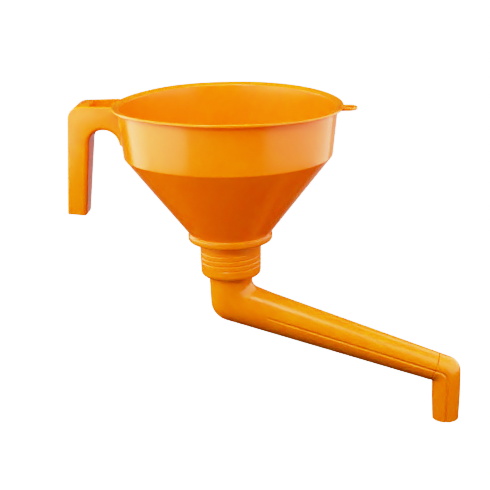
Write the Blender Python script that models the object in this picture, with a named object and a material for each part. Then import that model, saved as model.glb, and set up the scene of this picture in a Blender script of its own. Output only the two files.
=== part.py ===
"""Hand funnel with a side handle, a lift-out strainer and a cranked spout that swivels.

Blender 4.5, metres, +Z up. The origin is on the axis of the bowl, in the plane of the flat
shoulder under the strainer seat. The handle points along -X, the spout along +X.
"""
import math

import bmesh
import bpy
from mathutils import Vector

# Bowl
RIM_RADIUS = 0.1000
LIP_OVERHANG = 0.0049
LIP_HEIGHT = 0.0023
RIM_TOP_WIDTH = 0.0010
RIM_SLOPE_DROP = 0.0017
BAND_HEIGHT = 0.0436
BAND_TAPER = 0.0044
CONE_HEIGHT = 0.0709
BOWL_WALL = 0.0022

# Strainer seat, the ring between the cone and the neck
SEAT_RADIUS = 0.0373
SEAT_STEP = 0.0013
SEAT_HEIGHT = 0.0070
SEAT_FILLET = 0.0028
SEAT_WALL = 0.0031
SEAT_FLOOR = 0.0026

# Neck and its outside thread
NECK_RADIUS = 0.0272
NECK_TAPER = 0.0007
NECK_LENGTH = 0.0323
NECK_FILLET = 0.0048
NECK_WALL = 0.0023
NECK_FLOOR = 0.0045
THREAD_PITCH = 0.00455
THREAD_GROOVE = 0.0013
THREAD_DEPTH = 0.0007
THREAD_LAND = 0.0078
THREAD_FOOT = 0.0051

# Handle
FINGER_GAP = 0.0246
GRIP_THICKNESS = 0.0172
HANDLE_HEIGHT = 0.0975
HANDLE_TOP_RISE = 0.0008
HANDLE_CORNER = 0.0120
HANDLE_LEAN = 0.0058
HANDLE_TOP_WIDTH = 0.0340
HANDLE_BOTTOM_WIDTH = 0.0216
HANDLE_SPLAY = 0.096
HANDLE_EDGE = 0.0022
HANDLE_WALL = 0.0022
ARM_DEPTH = 0.0208
ARCH_OVERLAP = 0.0027
HANDLE_ROOT = 0.0123
TROUGH_START = 0.0180
TROUGH_END_RADIUS = 0.0050

# Hanging tab
TAB_REACH = 0.0116
TAB_WIDTH = 0.0160
TAB_THICKNESS = 0.0025
TAB_TOP_DROP = 0.0006
TAB_HOLE_RADIUS = 0.0038
TAB_HOLE_OFFSET = 0.0008

# Strainer
STRAINER_HEIGHT = 0.0044
STRAINER_RING_WIDTH = 0.0042
STRAINER_RIB_WIDTH = 0.0020
STRAINER_RIB_HEIGHT = 0.0011
GAUZE_THICKNESS = 0.0006
GAUZE_GRIP = 0.0017

# Spout
SPIGOT_GAP = 0.0046
SNAP_BEAD = 0.0020
SNAP_BEAD_HEIGHT = 0.0024
SPIGOT_LEAD_IN = 0.0012
ELBOW_STEP = 0.0009
ELBOW_DROP = 0.0248
ELBOW_INNER_BEND = 0.0085
ELBOW_OUTER_BEND = 0.0185
ARM_REACH = 0.1923
ARM_DIP = math.radians(18.6)
ARM_END_RADIUS = 0.0128
SEAM_MARGIN = 0.0006
OUTLET_LENGTH = 0.0466
OUTLET_END_RADIUS = 0.0118
OUTLET_INNER_BEND = 0.0020
OUTLET_OUTER_BEND = 0.0140
SPOUT_WALL = 0.0019
PLUG_LENGTH = 0.0130
PLUG_WALL = 0.0015
VENT_WIDTH = 0.0030
VENT_DEPTH = 0.0010
VENT_START = 0.0340
VENT_RUN_IN = 0.0040

# Swivel seal
SEAL_THICKNESS = 0.0022
SEAL_GAP = 0.0008

# Clearances
CLEARANCE = 0.0003
SWIVEL_CLEARANCE = 0.0004
CUT_MARGIN = 0.0040

# Facets
BOWL_FACETS = 64
THREAD_START_FACET = 43
TUBE_FACETS = 40
FILLET_STEPS = 3
BEND_STEPS = 5
CORNER_STEPS = 5
ARCH_STEPS = 12

# Levels and radii that follow from the sizes above
RIM_Z = SEAT_HEIGHT + CONE_HEIGHT + BAND_HEIGHT
BAND_RADIUS = RIM_RADIUS - LIP_OVERHANG
CREASE_RADIUS = BAND_RADIUS - BAND_TAPER
CREASE_Z = RIM_Z - BAND_HEIGHT
CONE_FOOT_RADIUS = SEAT_RADIUS - SEAT_STEP
CONE_SLOPE = (CREASE_RADIUS - CONE_FOOT_RADIUS) / CONE_HEIGHT
CONE_WALL = BOWL_WALL * math.hypot(1.0, CONE_SLOPE)
SEAT_BORE = SEAT_RADIUS - SEAT_WALL
SEAT_BORE_TOP = SEAT_HEIGHT + (SEAT_BORE + CONE_WALL - CONE_FOOT_RADIUS) / CONE_SLOPE
NECK_END_RADIUS = NECK_RADIUS - NECK_TAPER
NECK_BORE = NECK_END_RADIUS - NECK_WALL
NECK_FLOOR_Z = NECK_FLOOR - NECK_LENGTH
SPIGOT_RADIUS = NECK_BORE - SPIGOT_GAP
SWIVEL_BORE = SPIGOT_RADIUS + SWIVEL_CLEARANCE
THREAD_START = math.tau * THREAD_START_FACET / BOWL_FACETS
THREAD_HEIGHT = NECK_LENGTH - NECK_FILLET - THREAD_LAND - THREAD_FOOT
THREAD_COLUMNS = round(THREAD_HEIGHT / THREAD_PITCH * BOWL_FACETS)
HANDLE_TOP = RIM_Z + HANDLE_TOP_RISE
HANDLE_BOTTOM = HANDLE_TOP - HANDLE_HEIGHT
HANDLE_OUTER = -BAND_RADIUS - FINGER_GAP - GRIP_THICKNESS
GRIP_FOOT_SLANT = GRIP_THICKNESS * HANDLE_LEAN / HANDLE_HEIGHT
ARCH_RADIUS = (FINGER_GAP + ARCH_OVERLAP) / 2
GAUZE_Z = SEAT_FLOOR + STRAINER_RIB_HEIGHT + 2 * CLEARANCE
SEAL_Z = NECK_FLOOR_Z + CLEARANCE
ELBOW_RADIUS = SPIGOT_RADIUS - ELBOW_STEP
ELBOW_CENTRE = Vector((0.0, 0.0, -NECK_LENGTH - ELBOW_DROP))
OUTLET_CENTRE = ELBOW_CENTRE + Vector((ARM_REACH, 0.0, -ARM_REACH * math.tan(ARM_DIP)))
ARM_LENGTH = ARM_REACH / math.cos(ARM_DIP)
HALF_TURN = (math.pi / 2 - ARM_DIP) / 2
SEAM_SETBACK = (ARM_END_RADIUS + OUTLET_INNER_BEND) * math.tan(HALF_TURN) + SEAM_MARGIN
ARM_DIRECTION = Vector((math.cos(ARM_DIP), 0.0, -math.sin(ARM_DIP)))
DOWN = Vector((0.0, 0.0, -1.0))

ORANGE = (0.86, 0.27, 0.012)
BRASS = (0.72, 0.50, 0.20)
BLACK_RUBBER = (0.025, 0.025, 0.027)


# ---------------------------------------------------------------- general helpers

def clear_scene():
    for item in list(bpy.data.objects):
        bpy.data.objects.remove(item, do_unlink=True)


def make_material(name, colour, roughness, metallic):
    material = bpy.data.materials.new(name)
    material.use_nodes = True
    shader = material.node_tree.nodes["Principled BSDF"]
    shader.inputs["Base Color"].default_value = (*colour, 1.0)
    shader.inputs["Roughness"].default_value = roughness
    shader.inputs["Metallic"].default_value = metallic
    return material


def make_object(name, points, faces, material=None):
    """A mesh object from points and faces, with its faces turned outwards."""
    mesh = bpy.data.meshes.new(name)
    mesh.from_pydata([tuple(point) for point in points], [], faces)
    work = bmesh.new()
    work.from_mesh(mesh)
    bmesh.ops.recalc_face_normals(work, faces=work.faces)
    work.to_mesh(mesh)
    work.free()
    mesh.shade_smooth()
    mesh.set_sharp_from_angle(angle=math.radians(32.0))
    item = bpy.data.objects.new(name, mesh)
    bpy.context.scene.collection.objects.link(item)
    if material is not None:
        mesh.materials.append(material)
    return item


def make_form(name, points, faces):
    """A helper solid for a Boolean, which is not a piece of the funnel."""
    form = make_object(name, points, faces)
    form.hide_render = True
    form.display_type = 'WIRE'
    return form


def add_boolean(item, form, operation):
    modifier = item.modifiers.new(form.name, 'BOOLEAN')
    modifier.operation = operation
    modifier.object = form


def circle(radius, z, facets):
    step = math.tau / facets
    return [Vector((radius * math.cos(i * step), radius * math.sin(i * step), z))
            for i in range(facets)]


def band_faces(first, second, facets):
    """Quads between two rings whose points start at the indices first and second."""
    faces = []
    for i in range(facets):
        j = (i + 1) % facets
        faces.append((first + i, first + j, second + j, second + i))
    return faces


def ring_tube(rings):
    """Points and faces of a hollow body: the rings follow each other and close on the first."""
    facets = len(rings[0])
    points = [point for ring in rings for point in ring]
    faces = []
    for k in range(len(rings)):
        following = (k + 1) % len(rings)
        faces += band_faces(k * facets, following * facets, facets)
    return points, faces


def ring_stack(rings):
    """Points and faces of a full body: rings in order, with a flat cap on each end."""
    facets = len(rings[0])
    points = [point for ring in rings for point in ring]
    faces = []
    for k in range(len(rings) - 1):
        faces += band_faces(k * facets, (k + 1) * facets, facets)
    last = (len(rings) - 1) * facets
    faces.append(tuple(range(facets)))
    faces.append(tuple(range(last, last + facets)))
    return points, faces


def quarter_round(centre_radius, centre_z, radius, steps):
    """Profile points round an outer lower edge, from its side to its underside."""
    angles = [math.pi / 2 * k / steps for k in range(steps + 1)]
    return [(centre_radius + radius * math.cos(a), centre_z - radius * math.sin(a))
            for a in angles]


def turned_rings(profile, facets):
    return [circle(radius, z, facets) for radius, z in profile]


def prism(outline, half_width):
    """Points and faces of a slab across y: its sides are the outline, half_width(x, z) away."""
    count = len(outline)
    points = [Vector((x, -half_width(x, z), z)) for x, z in outline]
    points += [Vector((x, half_width(x, z), z)) for x, z in outline]
    faces = band_faces(0, count, count)
    faces.append(tuple(range(count)))
    faces.append(tuple(range(count, 2 * count)))
    return points, faces


def box(low, high):
    corners = [(low[0], low[2]), (high[0], low[2]), (high[0], high[2]), (low[0], high[2])]
    points, faces = prism(corners, lambda x, z: (high[1] - low[1]) / 2)
    middle = (high[1] + low[1]) / 2
    return [point + Vector((0.0, middle, 0.0)) for point in points], faces


def arc(centre, radius, start, end, steps):
    return [(centre[0] + radius * math.cos(start + (end - start) * k / steps),
             centre[1] + radius * math.sin(start + (end - start) * k / steps))
            for k in range(steps + 1)]


# ---------------------------------------------------------------- bowl

def outer_profile_above_neck():
    """Radius and height from the rim's top edge down to the start of the neck."""
    profile = [
        (RIM_RADIUS, RIM_Z),
        (RIM_RADIUS, RIM_Z - LIP_HEIGHT),
        (BAND_RADIUS, RIM_Z - LIP_HEIGHT),
        (CREASE_RADIUS, CREASE_Z),
        (CONE_FOOT_RADIUS, SEAT_HEIGHT),
        (SEAT_RADIUS, SEAT_HEIGHT - SEAT_STEP),
    ]
    profile += quarter_round(SEAT_RADIUS - SEAT_FILLET, SEAT_FILLET, SEAT_FILLET, FILLET_STEPS)
    profile.append((NECK_RADIUS, 0.0))
    return profile


def neck_radius_at(z):
    return NECK_RADIUS + NECK_TAPER * z / (NECK_LENGTH - NECK_FILLET)


def cavity_profile():
    """Radius and height of the inside, from above the rim to below the neck."""
    return [
        (RIM_RADIUS - RIM_TOP_WIDTH, RIM_Z + CUT_MARGIN),
        (RIM_RADIUS - RIM_TOP_WIDTH, RIM_Z + CLEARANCE),
        (BAND_RADIUS - BOWL_WALL, RIM_Z - RIM_SLOPE_DROP),
        (CREASE_RADIUS - BOWL_WALL, CREASE_Z),
        (SEAT_BORE, SEAT_BORE_TOP),
        (SEAT_BORE, SEAT_FLOOR),
        (NECK_BORE, SEAT_FLOOR),
        (NECK_BORE, NECK_FLOOR_Z),
        (SWIVEL_BORE, NECK_FLOOR_Z),
        (SWIVEL_BORE, -NECK_LENGTH - CUT_MARGIN),
    ]


def thread_section(column):
    """The four points of the groove's section at one column of the helix, upper edge first."""
    angle = THREAD_START + math.tau * column / BOWL_FACETS
    top = -THREAD_LAND - THREAD_PITCH * (THREAD_COLUMNS - column) / BOWL_FACETS
    section = []
    for depth, share in ((0.0, 0.0), (THREAD_DEPTH, 0.3), (THREAD_DEPTH, 0.7), (0.0, 1.0)):
        z = top - THREAD_GROOVE * share
        radius = neck_radius_at(z) - depth
        section.append(Vector((radius * math.cos(angle), radius * math.sin(angle), z)))
    return section


def cut_thread(points, faces, top, bottom):
    """Joins the neck's two rings, which start at the indices top and bottom, by its thread.

    The thread is a helical groove that climbs anticlockwise, with a land between its turns.
    """
    facets = BOWL_FACETS
    start = len(points)
    for column in range(THREAD_COLUMNS + 1):
        points.extend(thread_section(column))

    def upper(column):
        return start + 4 * column

    def lower(column):
        return start + 4 * column + 3

    def on_ring(ring, column):
        return ring + (THREAD_START_FACET + column) % facets

    for column in range(THREAD_COLUMNS):
        for k in range(3):
            here, there = upper(column) + k, upper(column + 1) + k
            faces.append((here, here + 1, there + 1, there))
    for column in (0, THREAD_COLUMNS):
        faces.append(tuple(range(upper(column), upper(column) + 4)))
    for column in range(THREAD_COLUMNS - facets):
        faces.append((upper(column), upper(column + 1),
                      lower(column + 1 + facets), lower(column + facets)))
    for column in range(facets - 1):
        faces.append((on_ring(bottom, column), on_ring(bottom, column + 1),
                      lower(column + 1), lower(column)))
    faces.append((on_ring(bottom, facets - 1), on_ring(bottom, 0), lower(0), upper(0),
                  lower(facets), lower(facets - 1)))
    last = THREAD_COLUMNS - facets
    for column in range(last + 1, THREAD_COLUMNS):
        faces.append((upper(column), upper(column + 1),
                      on_ring(top, column + 1), on_ring(top, column)))
    faces.append((upper(last), upper(last + 1), on_ring(top, last + 1), on_ring(top, last),
                  upper(THREAD_COLUMNS), lower(THREAD_COLUMNS)))


def bowl_outside():
    """The outside of bowl, seat and threaded neck as one full body."""
    points, faces = ring_stack(turned_rings(outer_profile_above_neck(), BOWL_FACETS))
    faces.pop()
    top = len(points) - BOWL_FACETS
    bottom = len(points)
    foot = quarter_round(NECK_END_RADIUS - NECK_FILLET, NECK_FILLET - NECK_LENGTH,
                         NECK_FILLET, FILLET_STEPS)
    foot_points, foot_faces = ring_stack(turned_rings(foot, BOWL_FACETS))
    foot_faces.pop(-2)
    points += foot_points
    faces += [tuple(index + bottom for index in face) for face in foot_faces]
    cut_thread(points, faces, top, bottom)
    return points, faces


# ---------------------------------------------------------------- handle and tab

def handle_outline():
    """The handle's outline in the plane y = 0, from inside the bowl round to it again."""
    root_x = -BAND_RADIUS + BOWL_WALL + HANDLE_ROOT
    arch_centre = (-BAND_RADIUS + ARCH_OVERLAP - ARCH_RADIUS,
                   HANDLE_TOP - ARM_DEPTH - ARCH_RADIUS)
    outline = [(root_x, HANDLE_TOP)]
    outline += arc((HANDLE_OUTER + HANDLE_CORNER, HANDLE_TOP - HANDLE_CORNER), HANDLE_CORNER,
                   math.pi / 2, math.pi, CORNER_STEPS)
    outline.append((HANDLE_OUTER - HANDLE_LEAN, HANDLE_BOTTOM))
    outline.append((HANDLE_OUTER - HANDLE_LEAN + GRIP_THICKNESS, HANDLE_BOTTOM - GRIP_FOOT_SLANT))
    outline += arc(arch_centre, ARCH_RADIUS, math.pi, 0.0, ARCH_STEPS)
    outline.append((root_x, arch_centre[1]))
    return outline


def handle_half_width(x, z):
    """Half the handle's width, which shrinks downwards and grows towards the bowl."""
    share = (HANDLE_TOP - z) / HANDLE_HEIGHT
    width_at_back = HANDLE_TOP_WIDTH + (HANDLE_BOTTOM_WIDTH - HANDLE_TOP_WIDTH) * share
    return width_at_back / 2 + HANDLE_SPLAY * (x - HANDLE_OUTER)


def hollow_half_width(x, z):
    return handle_half_width(x, z) - HANDLE_WALL


def make_trough_form():
    """The open trough in the top of the arm, from the handle's spine to the bowl."""
    start, end = -RIM_RADIUS - TROUGH_START, -BAND_RADIUS + HANDLE_ROOT
    floor, above = HANDLE_TOP - ARM_DEPTH + HANDLE_WALL, RIM_Z + CUT_MARGIN
    outline = [(start, floor), (end, floor), (end, above), (start, above)]
    form = make_form("trough_form", *prism(outline, hollow_half_width))
    corner = form.modifiers.new("corner", 'BEVEL')
    corner.width = TROUGH_END_RADIUS
    corner.segments = 3
    corner.limit_method = 'ANGLE'
    return form


def make_grip_pocket_form():
    """The pocket that hollows the grip, open at its lower end."""
    lean = HANDLE_LEAN / HANDLE_HEIGHT
    width = GRIP_THICKNESS - 2 * HANDLE_WALL
    outline = []
    for z in (HANDLE_TOP - ARM_DEPTH, HANDLE_BOTTOM - CUT_MARGIN):
        outline.append((HANDLE_OUTER - lean * (HANDLE_TOP - z) + HANDLE_WALL, z))
    outline += [(x + width, z) for x, z in reversed(outline)]
    return make_form("grip_pocket_form", *prism(outline, hollow_half_width))


def make_handle_form():
    form = make_form("handle_form", *prism(handle_outline(), handle_half_width))
    edge = form.modifiers.new("edge", 'BEVEL')
    edge.width = HANDLE_EDGE
    edge.segments = 2
    edge.limit_method = 'ANGLE'
    edge.angle_limit = math.radians(50.0)
    add_boolean(form, make_trough_form(), 'DIFFERENCE')
    add_boolean(form, make_grip_pocket_form(), 'DIFFERENCE')
    return form


def make_tab_form():
    """The hanging tab, a plate with a round end, with its hole."""
    top = RIM_Z - TAB_TOP_DROP
    radius = TAB_WIDTH / 2
    centre_x = RIM_RADIUS + TAB_REACH - radius
    root_x = BAND_RADIUS - BOWL_WALL / 2
    outline = [(root_x, -radius)]
    outline += arc((centre_x, 0.0), radius, -math.pi / 2, math.pi / 2, ARCH_STEPS)
    outline.append((root_x, radius))
    rings = [[Vector((x, y, z)) for x, y in outline] for z in (top, top - TAB_THICKNESS)]
    form = make_form("tab_form", *ring_stack(rings))
    heights = (top + CUT_MARGIN, top - TAB_THICKNESS - CUT_MARGIN)
    hole = [circle(TAB_HOLE_RADIUS, z, ARCH_STEPS * 2) for z in heights]
    for ring in hole:
        for point in ring:
            point.x += centre_x + TAB_HOLE_OFFSET
    add_boolean(form, make_form("tab_hole_form", *ring_stack(hole)), 'DIFFERENCE')
    return form


def make_funnel_bowl(material):
    bowl = make_object("funnel_bowl", *bowl_outside(), material)
    cavity = make_form("cavity_form", *ring_stack(turned_rings(cavity_profile(), BOWL_FACETS)))
    add_boolean(bowl, make_handle_form(), 'UNION')
    add_boolean(bowl, make_tab_form(), 'UNION')
    add_boolean(bowl, cavity, 'DIFFERENCE')
    return bowl


# ---------------------------------------------------------------- strainer

def make_strainer_frame(material):
    """The strainer's ring, with a groove that grips the gauze and a cross under it."""
    outer = SEAT_BORE - CLEARANCE
    inner = outer - STRAINER_RING_WIDTH
    groove = inner + GAUZE_GRIP
    bottom = SEAT_FLOOR + CLEARANCE
    top = bottom + STRAINER_HEIGHT
    profile = [
        (outer, top), (outer, bottom), (inner, bottom),
        (inner, GAUZE_Z - CLEARANCE), (groove, GAUZE_Z - CLEARANCE),
        (groove, GAUZE_Z + GAUZE_THICKNESS + CLEARANCE),
        (inner, GAUZE_Z + GAUZE_THICKNESS + CLEARANCE), (inner, top),
    ]
    frame = make_object("strainer_frame", *ring_tube(turned_rings(profile, BOWL_FACETS)), material)
    reach = inner + GAUZE_GRIP / 2
    half = STRAINER_RIB_WIDTH / 2
    low = bottom + CLEARANCE
    high = bottom + STRAINER_RIB_HEIGHT - CLEARANCE / 2
    along = make_form("rib_along_form", *box((-reach, -half, low), (reach, half, high)))
    across = make_form("rib_across_form", *box((-half, -reach, low), (half, reach, high)))
    add_boolean(along, across, 'UNION')
    add_boolean(frame, along, 'UNION')
    return frame


def make_strainer_gauze(material):
    radius = SEAT_BORE - STRAINER_RING_WIDTH + GAUZE_GRIP - 2 * CLEARANCE
    heights = (GAUZE_Z + GAUZE_THICKNESS, GAUZE_Z)
    rings = [circle(radius, z, BOWL_FACETS) for z in heights]
    return make_object("strainer_gauze", *ring_stack(rings), material)


# ---------------------------------------------------------------- spout

class Bend:
    """A round tube that runs along one line, turns a corner and runs along a second line.

    Every facet edge follows both lines and is rounded where they meet, tightly on the inner
    side of the bend and widely on the outer side.
    """

    def __init__(self, corner, first, second, inner_bend, outer_bend):
        self.corner = corner
        self.first = first
        self.second = second
        self.inner_bend = inner_bend
        self.outer_bend = outer_bend
        turn = first.angle(second)
        side_first = (second - first * first.dot(second)).normalized()
        side_second = (second * first.dot(second) - first).normalized()
        self.half_turn = turn / 2
        self.sides = (side_first, side_second)
        self.mitre = (side_first + side_second) / (1.0 + side_first.dot(side_second))

    def before(self, distance, radius, angle):
        """A point on the first run, at a distance before the corner."""
        centre = self.corner - self.first * distance
        return self.offset(centre, self.sides[0], radius, angle)

    def after(self, distance, radius, angle):
        centre = self.corner + self.second * distance
        return self.offset(centre, self.sides[1], radius, angle)

    @staticmethod
    def offset(centre, side, radius, angle):
        across = Vector((0.0, 1.0, 0.0))
        return centre + side * radius * math.cos(angle) + across * radius * math.sin(angle)

    def rounded(self, share, radius, angle):
        """A point on the rounded corner: share 0 is where it starts, 1 where it ends."""
        sharp = self.offset(self.corner, self.mitre, radius, angle)
        inward = (1.0 + math.cos(angle)) / 2
        bend = self.outer_bend + (self.inner_bend - self.outer_bend) * inward
        setback = bend * math.tan(self.half_turn)
        start = sharp - self.first * setback
        centre = start + self.sides[0] * bend
        swing = 2 * self.half_turn * share
        return centre - self.sides[0] * bend * math.cos(swing) + self.first * bend * math.sin(swing)


def tube_angles(radius, vent_width):
    """Angles of the facet edges: even, with four more edges round each vent groove."""
    half = vent_width / 2 / radius
    groove = [-half, -half * 0.35, half * 0.35, half]
    clear = 2 * half
    even = []
    count = TUBE_FACETS // 2
    for i in range(count):
        share = (i + 0.5) / count
        even.append(-math.pi / 2 + clear + (math.pi - 2 * clear) * share)
    angles = []
    for middle in (0.0, math.pi):
        angles += [middle + angle for angle in even]
        angles += [middle + math.pi / 2 + angle for angle in groove]
    return angles


def tube_ring(place, radius, vent_depth):
    """One ring of a tube: place(radius, angle) gives a point, and the vent groove is sunk."""
    ring = []
    for i, angle in enumerate(tube_angles(radius, VENT_WIDTH)):
        in_groove = i % (TUBE_FACETS // 2 + 4) - TUBE_FACETS // 2
        depth = vent_depth if in_groove in (1, 2) else 0.0
        ring.append(place(radius - depth, angle))
    return ring


def arm_radius(distance):
    """Outer radius of the arm at a distance from the elbow's corner."""
    return ELBOW_RADIUS + (ARM_END_RADIUS - ELBOW_RADIUS) * distance / ARM_LENGTH


def spigot_rings(bend):
    """The spigot from its tip down to the neck's lower end, with its snap bead."""
    bead_under = ELBOW_DROP + NECK_FLOOR + SEAL_THICKNESS + 2 * CLEARANCE
    bead_top = bead_under + SNAP_BEAD_HEIGHT
    stations = [
        (bead_top + SPIGOT_LEAD_IN, SPIGOT_RADIUS),
        (bead_top, SPIGOT_RADIUS + SNAP_BEAD),
        (bead_under, SPIGOT_RADIUS + SNAP_BEAD),
        (bead_under, SPIGOT_RADIUS),
        (ELBOW_DROP, SPIGOT_RADIUS),
    ]
    return [tube_ring(lambda radius, angle: bend.before(distance, radius, angle), radius, 0.0)
            for distance, radius in stations]


def corner_rings(bend, radius, vent_depth):
    rings = []
    for step in range(BEND_STEPS + 1):
        share = step / BEND_STEPS
        rings.append(tube_ring(lambda r, angle: bend.rounded(share, r, angle), radius, vent_depth))
    return rings


def make_spout_arm(material):
    """Spigot, elbow and arm in one moulding, up to the seam with the outlet elbow."""
    bend = Bend(ELBOW_CENTRE, DOWN, ARM_DIRECTION, ELBOW_INNER_BEND, ELBOW_OUTER_BEND)
    bore = Bend(ELBOW_CENTRE, DOWN, ARM_DIRECTION,
                ELBOW_INNER_BEND + SPOUT_WALL, ELBOW_OUTER_BEND - SPOUT_WALL)
    end = ARM_LENGTH - SEAM_SETBACK
    rings = spigot_rings(bend) + corner_rings(bend, ELBOW_RADIUS, 0.0)
    for distance, depth in ((VENT_START, 0.0), (VENT_START + VENT_RUN_IN, VENT_DEPTH),
                            (end, VENT_DEPTH)):
        rings.append(tube_ring(lambda radius, angle: bend.after(distance, radius, angle),
                               arm_radius(distance), depth))
    rings.append(tube_ring(lambda radius, angle: bore.after(end, radius, angle),
                           arm_radius(end) - SPOUT_WALL, 0.0))
    rings += reversed(corner_rings(bore, ELBOW_RADIUS - SPOUT_WALL, 0.0))
    tip = (ELBOW_DROP + NECK_FLOOR + SEAL_THICKNESS + 2 * CLEARANCE
           + SNAP_BEAD_HEIGHT + SPIGOT_LEAD_IN)
    for distance in (ELBOW_DROP, tip):
        rings.append(tube_ring(lambda radius, angle: bore.before(distance, radius, angle),
                               SPIGOT_RADIUS - SPOUT_WALL, 0.0))
    return make_object("spout_arm", *ring_tube(rings), material)


def make_outlet_elbow(material):
    """The last elbow with the outlet, and the plug that holds it in the arm's end."""
    bend = Bend(OUTLET_CENTRE, ARM_DIRECTION, DOWN, OUTLET_INNER_BEND, OUTLET_OUTER_BEND)
    bore = Bend(OUTLET_CENTRE, ARM_DIRECTION, DOWN,
                OUTLET_INNER_BEND + SPOUT_WALL, OUTLET_OUTER_BEND - SPOUT_WALL)
    shoulder = SEAM_SETBACK - CLEARANCE
    plug_radius = arm_radius(ARM_LENGTH - SEAM_SETBACK) - SPOUT_WALL - CLEARANCE
    plug_bore = plug_radius - PLUG_WALL

    def before(distance, ring_radius, depth):
        return tube_ring(lambda radius, angle: bend.before(distance, radius, angle),
                         ring_radius, depth)

    rings = [before(shoulder, arm_radius(ARM_LENGTH - shoulder), VENT_DEPTH)]
    rings += corner_rings(bend, ARM_END_RADIUS, VENT_DEPTH)
    for radius, depth in ((OUTLET_END_RADIUS, VENT_DEPTH), (OUTLET_END_RADIUS - SPOUT_WALL, 0.0)):
        rings.append(tube_ring(lambda r, angle: bend.after(OUTLET_LENGTH, r, angle), radius, depth))
    rings += reversed(corner_rings(bore, ARM_END_RADIUS - SPOUT_WALL, 0.0))
    rings += [
        before(SEAM_SETBACK, plug_bore, 0.0),
        before(SEAM_SETBACK + PLUG_LENGTH, plug_bore, 0.0),
        before(SEAM_SETBACK + PLUG_LENGTH, plug_radius, 0.0),
        before(shoulder, plug_radius, 0.0),
    ]
    return make_object("outlet_elbow", *ring_tube(rings), material)


def make_swivel_seal(material):
    """The flat rubber ring round the spigot, between the neck's floor and the snap bead."""
    inner = SWIVEL_BORE
    outer = NECK_BORE - SEAL_GAP
    top = SEAL_Z + SEAL_THICKNESS
    profile = [(outer, top), (outer, SEAL_Z), (inner, SEAL_Z), (inner, top)]
    return make_object("swivel_seal", *ring_tube(turned_rings(profile, BOWL_FACETS)), material)


def main():
    clear_scene()
    orange = make_material("orange_polyethylene", ORANGE, 0.32, 0.0)
    brass = make_material("brass_wire", BRASS, 0.35, 1.0)
    rubber = make_material("black_rubber", BLACK_RUBBER, 0.7, 0.0)
    bowl = make_funnel_bowl(orange)
    frame = make_strainer_frame(orange)
    gauze = make_strainer_gauze(brass)
    seal = make_swivel_seal(rubber)
    arm = make_spout_arm(orange)
    elbow = make_outlet_elbow(orange)
    for piece, holder in ((frame, bowl), (gauze, frame), (seal, bowl), (arm, bowl), (elbow, arm)):
        piece.parent = holder


main()
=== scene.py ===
"""Looks of the swivel-spout funnel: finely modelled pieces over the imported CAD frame, in metres.

The moulded pieces are rebuilt from the same sizes as the CAD, with the fillets, the thread, the
wire cloth and the slightly warped rim that a real moulding has.
"""
import math

import bmesh
import bpy
from mathutils import Matrix, Vector


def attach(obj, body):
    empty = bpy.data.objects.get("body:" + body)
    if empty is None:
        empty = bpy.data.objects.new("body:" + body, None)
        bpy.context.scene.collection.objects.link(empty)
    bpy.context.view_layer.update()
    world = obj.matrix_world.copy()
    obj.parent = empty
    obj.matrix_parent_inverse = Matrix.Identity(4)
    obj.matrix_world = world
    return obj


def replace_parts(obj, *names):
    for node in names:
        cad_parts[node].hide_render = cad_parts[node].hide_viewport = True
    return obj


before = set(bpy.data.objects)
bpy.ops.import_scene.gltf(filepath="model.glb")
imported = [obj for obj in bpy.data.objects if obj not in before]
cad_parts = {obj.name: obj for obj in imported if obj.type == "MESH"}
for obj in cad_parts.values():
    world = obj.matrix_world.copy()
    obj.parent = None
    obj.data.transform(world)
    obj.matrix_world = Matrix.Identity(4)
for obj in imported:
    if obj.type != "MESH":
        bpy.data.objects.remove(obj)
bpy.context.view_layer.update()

# Bowl, seat and neck
RIM_RADIUS = 0.1000
RIM_Z = 0.1215
LIP_HEIGHT = 0.0023
RIM_TOP_WIDTH = 0.0019
RIM_SLOPE_DROP = 0.0017
BAND_RADIUS = 0.0951
CREASE_RADIUS = 0.0907
CREASE_Z = 0.0779
CONE_FOOT_RADIUS = 0.0360
SEAT_RADIUS = 0.0373
SEAT_HEIGHT = 0.0070
SEAT_STEP = 0.0013
SEAT_FILLET = 0.0028
SEAT_BORE = 0.0342
SEAT_FLOOR = 0.0026
BOWL_WALL = 0.0022
NECK_RADIUS = 0.0272
NECK_END_RADIUS = 0.0265
NECK_LENGTH = 0.0323
NECK_FILLET = 0.0048
NECK_BORE = 0.0242
NECK_FLOOR = 0.0045
SWIVEL_BORE = 0.0200
RIM_WARP = 0.0016
RIM_LIFT = 0.0014

# Thread
THREAD_PITCH = 0.00455
THREAD_GROOVE = 0.0013
THREAD_DEPTH = 0.0007
THREAD_LAND = 0.0078
THREAD_TURNS = 3.2
THREAD_START = math.tau * 43 / 64
THREAD_RUN_OUT = 0.12
GROOVE_FLAT = 0.12
GROOVE_SHOULDER = 0.62
THREAD_STEP = 0.00018
NECK_SKIN = 0.0010
LONG_RUN = 0.0040
LONG_STEP = 0.0080

# Handle and tab
HANDLE_TOP = 0.1223
HANDLE_HEIGHT = 0.0975
HANDLE_OUTER = -0.1369
HANDLE_CORNER = 0.0120
HANDLE_LEAN = 0.0058
GRIP_THICKNESS = 0.0172
GRIP_ROUNDING = 0.0040
HANDLE_TOP_WIDTH = 0.0340
HANDLE_BOTTOM_WIDTH = 0.0216
HANDLE_SPLAY = 0.096
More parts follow.
